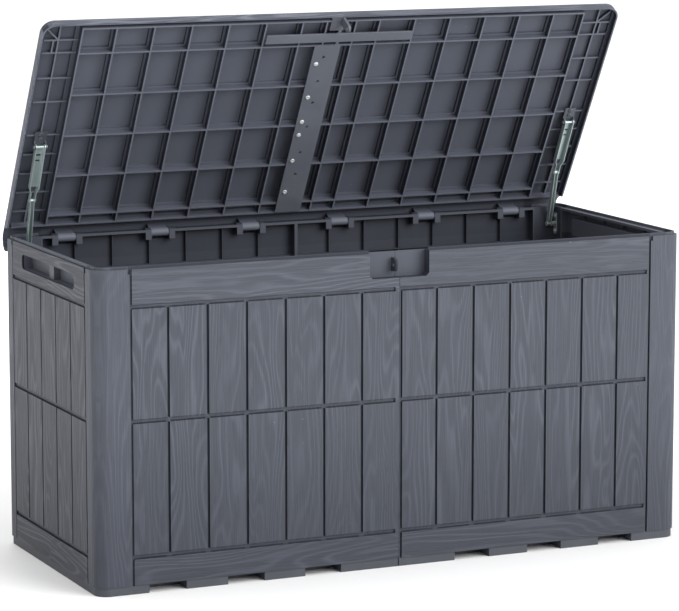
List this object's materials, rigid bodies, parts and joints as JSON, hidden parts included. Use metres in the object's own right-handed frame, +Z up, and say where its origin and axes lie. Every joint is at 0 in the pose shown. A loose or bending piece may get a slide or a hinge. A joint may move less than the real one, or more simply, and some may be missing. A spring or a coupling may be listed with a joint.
{
  "type": "deck storage box",
  "caption": "Deck storage box of plank-moulded resin panels with corner posts, a hinged ribbed lid on folding stays, handle pockets and a padlock eye.",
  "frame": {"origin": "centre of the footprint on the floor, below the base", "axes": "+X to the right seen from the front, +Y to the back, +Z up; the lid stands open 60 degrees"},
  "size_m": [1.19, 0.5104, 1.0138],
  "materials": {
    "plank_resin": "moulded wood grain, matt",
    "base_resin": "fine matt",
    "trim_resin": "smooth matt",
    "painted_strip": "satin powder coat",
    "plated_steel": "zinc plated"
  },
  "bodies": {
    "box": {"back_panel_left": "plank_resin", "back_panel_right": "plank_resin", "base_clips": "base_resin", "base_left": "base_resin", "base_right": "base_resin", "centre_strip_back": "base_resin", "centre_strip_front": "base_resin", "end_panel_left": "plank_resin", "end_panel_right": "plank_resin", "front_panel_left": "plank_resin", "front_panel_right": "plank_resin", "hinge_pins_left": "plated_steel", "hinge_pins_right": "plated_steel", "post_front_left": "plank_resin", "post_front_right": "plank_resin", "post_rear_left": "plank_resin", "post_rear_right": "plank_resin", "stay_box_bracket_left": "plated_steel", "stay_box_bracket_right": "plated_steel", "stay_box_pin_left": "plated_steel", "stay_box_pin_right": "plated_steel", "stay_box_screws": "plated_steel"},
    "lid": {"lid_crossbar": "painted_strip", "lid_joining_strip": "painted_strip", "lid_latch_plate": "trim_resin", "lid_left": "plank_resin", "lid_right": "plank_resin", "lid_strip_screws": "plated_steel", "stay_lid_bracket_left": "plated_steel", "stay_lid_bracket_right": "plated_steel", "stay_lid_pin_left": "plated_steel", "stay_lid_pin_right": "plated_steel", "stay_lid_screws": "plated_steel"},
    "upper_stay_left": {"stay_upper_link_left": "plated_steel", "stay_knee_rivets_left": "plated_steel"},
    "lower_stay_left": {"stay_lower_link_left": "plated_steel"},
    "upper_stay_right": {"stay_upper_link_right": "plated_steel", "stay_knee_rivets_right": "plated_steel"},
    "lower_stay_right": {"stay_lower_link_right": "plated_steel"}
  },
  "joints": [
    {"name": "lid_hinge", "type": "hinge", "parent": "box", "child": "lid", "pos_m": [0, 0.235, 0.584], "axis": [1, 0, 0], "range_deg": [0, 60]},
    {"name": "upper_stay_left", "type": "hinge", "parent": "lid", "child": "upper_stay_left", "pos_m": [-0.557, 0.13916, 0.77], "axis": [1, 0, 0], "range_deg": [-37.58, 0]},
    {"name": "lower_stay_left", "type": "hinge", "parent": "box", "child": "lower_stay_left", "pos_m": [-0.557, 0.219, 0.556], "axis": [1, 0, 0], "range_deg": [0, 96.62]},
    {"name": "upper_stay_right", "type": "hinge", "parent": "lid", "child": "upper_stay_right", "pos_m": [0.557, 0.13916, 0.77], "axis": [1, 0, 0], "range_deg": [-37.58, 0]},
    {"name": "lower_stay_right", "type": "hinge", "parent": "box", "child": "lower_stay_right", "pos_m": [0.557, 0.219, 0.556], "axis": [1, 0, 0], "range_deg": [0, 96.62]}
  ],
  "couplings": [
    {"joint": "upper_stay_left", "follows": "lid_hinge", "ratio": -0.62619},
    {"joint": "lower_stay_left", "follows": "lid_hinge", "ratio": 1.6102},
    {"joint": "upper_stay_right", "follows": "lid_hinge", "ratio": -0.62619},
    {"joint": "lower_stay_right", "follows": "lid_hinge", "ratio": 1.6102}
  ]
}
